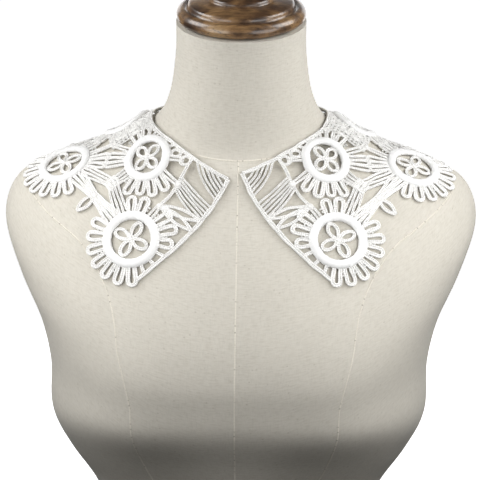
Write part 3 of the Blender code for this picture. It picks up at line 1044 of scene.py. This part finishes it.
def make_ring(wheel, side, material):
    """A wheel's padded ring, covered with satin stitches."""
    count = int(2 * math.pi * (wheel.radius - RING_WIDE / 2) / RING_STITCH) * 4
    rng = np.random.default_rng(int(wheel.azimuth * 10) + (side > 0))
    inner = smooth_noise(rng, count, count // 8) * RING_UNEVEN
    outer = smooth_noise(rng, count, count // 8) * RING_UNEVEN
    groove = np.where(np.arange(count) % 4 == 0, RING_GROOVE, 0.0)
    section = ring_section(RING_WIDE)
    share = section[:, 0] / RING_WIDE + 0.5
    angles = 360 * np.arange(count) / count
    points = np.array([
        wheel.at(angle, wheel.radius - RING_WIDE / 2 + b + outer[i] * s - inner[i] * (1 - s))
        for i, angle in enumerate(angles) for b, s in zip(section[:, 0], share)
    ])
    base, normals = lay(points, side)
    height = section[None, :, 1] * (1 - groove[:, None] / RING_HIGH)
    rings = (base + normals * height.reshape(-1, 1)).reshape(count, len(section), 3)
    skin = Skin()
    skin.loft(rings[::-1], np.arange(count) / 4 * RING_STITCH * MM, closed=True)
    label = "left" if side > 0 else "right"
    item = skin.build(f"ring_{label}_{wheel.name}", material, side)
    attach(item, ROOT)
    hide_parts(f"band_{label}_{wheel.name}")
    return item


# -------------------------------------------------------------- the form
COVER_SIDES = 192
COVER_STEPS = 8


def make_cover(material):
    """The form's linen cover, with UVs that are lengths along the cloth."""
    rows = LAST_RING * COVER_STEPS + 1
    t = np.linspace(0, LAST_RING, rows)
    azimuth = np.linspace(-180, 180, COVER_SIDES + 1)
    grid = form_point(t[:, None], azimuth[None, :])
    around = np.concatenate(
        [np.zeros((rows, 1)), np.cumsum(np.linalg.norm(np.diff(grid, axis=1), axis=-1), axis=1)], axis=1)
    around -= around[:, COVER_SIDES // 2][:, None]
    down = np.concatenate(
        [np.zeros((1, COVER_SIDES + 1)), np.cumsum(np.linalg.norm(np.diff(grid, axis=0), axis=-1), axis=0)])
    verts = grid[:, :-1].reshape(-1, 3) * MM
    faces, corner_uvs = [], []
    for i in range(rows - 1):
        for j in range(COVER_SIDES):
            k = (j + 1) % COVER_SIDES
            faces.append((i * COVER_SIDES + j, (i + 1) * COVER_SIDES + j, (i + 1) * COVER_SIDES + k,
                          i * COVER_SIDES + k))
            for row, column in ((i, j), (i + 1, j), (i + 1, j + 1), (i, j + 1)):
                corner_uvs.append((around[row, column] * MM, -down[row, column] * MM))
    faces.append(list(range(COVER_SIDES)))
    corner_uvs += [(v[0], v[1]) for v in verts[:COVER_SIDES]]
    faces.append(list(reversed(range((rows - 1) * COVER_SIDES, rows * COVER_SIDES))))
    corner_uvs += [(v[0], v[1]) for v in reversed(verts[-COVER_SIDES:])]
    mesh = bpy.data.meshes.new("form_cover")
    mesh.from_pydata(verts.tolist(), [], faces)
    layer = mesh.uv_layers.new(name="UVMap")
    layer.data.foreach_set("uv", np.array(corner_uvs).ravel())
    mesh.shade_smooth()
    mesh.set_sharp_from_angle(angle=math.radians(50))
    mesh.materials.append(material)
    item = bpy.data.objects.new("form_cover", mesh)
    bpy.context.scene.collection.objects.link(item)
    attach(item, ROOT)
    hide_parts("form_body")
    return item


SEAM_SECTION = np.array([(-0.5, 0.0), (-0.3, 0.8), (0.0, 1.0), (0.3, 0.8), (0.5, 0.0)])
SEAM_WIDE = 1.3
SEAM_HIGH = 0.3


ROW_AS_LENGTH = 40           # a row of the table, while the princess line is smoothed


def seam_lines():
    """Lines of rows and azimuths: neck, centre front and back, princess seams."""
    sweep = np.linspace(-180, 180, 240)
    neck = [(3.3 - 0.15 * abs(a) / 180, a) for a in sweep]
    front = [(t, 0.0) for t in np.linspace(3.35, LAST_RING, 150)]
    back = [(t, 180.0) for t in np.linspace(3.2, LAST_RING, 150)]
    curve = [(6.8, 75), (6.8, 62), (6.8, 52), (6.85, 45), (7.05, 39), (7.45, 33.6), (8.05, 30), (8.7, 29),
             (9.5, 29.3), (11, 29.0), (13, 28.0), (15, 27), (16, 26), (18, 27)]
    princess = through([(t * ROW_AS_LENGTH, a, 0.0) for t, a in curve])
    lines = [neck, front, back]
    for side in (1, -1):
        lines.append([(p[0] / ROW_AS_LENGTH, p[1] * side) for p in princess])
        lines.append([(p[0] / ROW_AS_LENGTH, (180 - p[1]) * side) for p in princess])
    return lines


def make_seams(material):
    """Narrow raised strips along the form's seams."""
    skin = Skin()
    for line in seam_lines():
        t, azimuth = np.array(line).T
        p, n = form_point(t, azimuth), form_normal(t, azimuth)
        across = unit(np.cross(n, unit(np.gradient(p, axis=0))))
        rings = p[:, None] + across[:, None] * SEAM_SECTION[None, :, :1] * SEAM_WIDE
        rings = rings + n[:, None] * (SEAM_SECTION[None, :, 1:] * SEAM_HIGH - 0.05)
        gone = np.concatenate([[0], np.cumsum(np.linalg.norm(np.diff(p, axis=0), axis=1))]) * MM
        skin.loft(rings, gone, closed=False)
    item = skin.build("form_seams", material)
    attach(item, ROOT)
    return item


# --------------------------------------------------------------- the neck cap
LIP_RADIUS, LIP_ROLL = 46.2, 6.0
CAP_STEPS = [                # radius and height over the neck's top, from the lip inwards
    (44.6, 11.7), (43.7, 11.2), (43.2, 11.6), (43.0, 13.4), (42.5, 14.8), (41.7, 15.6), (40.4, 16.0),
    (34.0, 17.4), (28.3, 18.7), (27.3, 18.6), (26.8, 19.1), (26.6, 20.6), (26.1, 21.7), (24.8, 22.4),
    (18.0, 24.3), (12.0, 25.7), (6.0, 26.6), (0.6, 26.8),
]
CAP_SIDES = 160
CAP_SEAT = 0.3


def make_cap(material):
    """The turned cap on the neck, which leans forward with the neck's top."""
    turns = np.radians(np.arange(-90, 91, 12))
    roll = np.stack([LIP_RADIUS + LIP_ROLL * np.cos(turns), LIP_ROLL * (1 + np.sin(turns))], axis=1)
    profile = np.vstack([roll, CAP_STEPS])
    front, side, back, _, middle, deep_front, deep_back, _ = RINGS[0]
    lean = math.atan2(back - front, deep_front + deep_back)
    round_way = np.radians(np.arange(CAP_SIDES) * 360 / CAP_SIDES)[None, :]
    radius, height = profile[:, :1], profile[:, 1:] + CAP_SEAT
    x = radius * np.sin(round_way)
    forward = radius * np.cos(round_way)
    y = middle - forward * math.cos(lean) - height * math.sin(lean)
    z = side - forward * math.sin(lean) + height * math.cos(lean)
    skin = Skin()
    gone = np.concatenate([[0], np.cumsum(np.linalg.norm(np.diff(profile, axis=0), axis=1))]) * MM
    skin.loft(np.stack([x, y, z + 0 * x], axis=-1)[::-1], gone, closed=False)
    item = skin.build("neck_cap", material)
    item.data.set_sharp_from_angle(angle=math.radians(55))
    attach(item, ROOT)
    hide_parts("form_neck_cap")


# --------------------------------------------------------------- the collar
def make_half(side, drawing, cord_material, satin_material):
    label = "left" if side > 0 else "right"
    skin = Skin()
    lay_cords(skin, drawing.strokes, side, np.random.default_rng(11 + side))
    lay_knots(skin, drawing.knots, side)
    lace = skin.build(f"lace_{label}", cord_material, side)
    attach(lace, ROOT)
    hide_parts(f"collar_{label}")
    rings = [make_ring(wheel, side, satin_material) for wheel in WHEELS.values()]
    return lace, rings


make_camera()
make_lights()
make_stage()

linen = make_linen()
make_cover(linen)
make_seams(make_seam_thread())
cord_thread, satin_thread = make_cord_thread(), make_satin_thread()
half_drawing = draw_half()
for half in (1, -1):
    lace, rings = make_half(half, half_drawing, cord_thread, satin_thread)

make_cap(make_wood())
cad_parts["form_base"].material_slots[0].material = make_board()
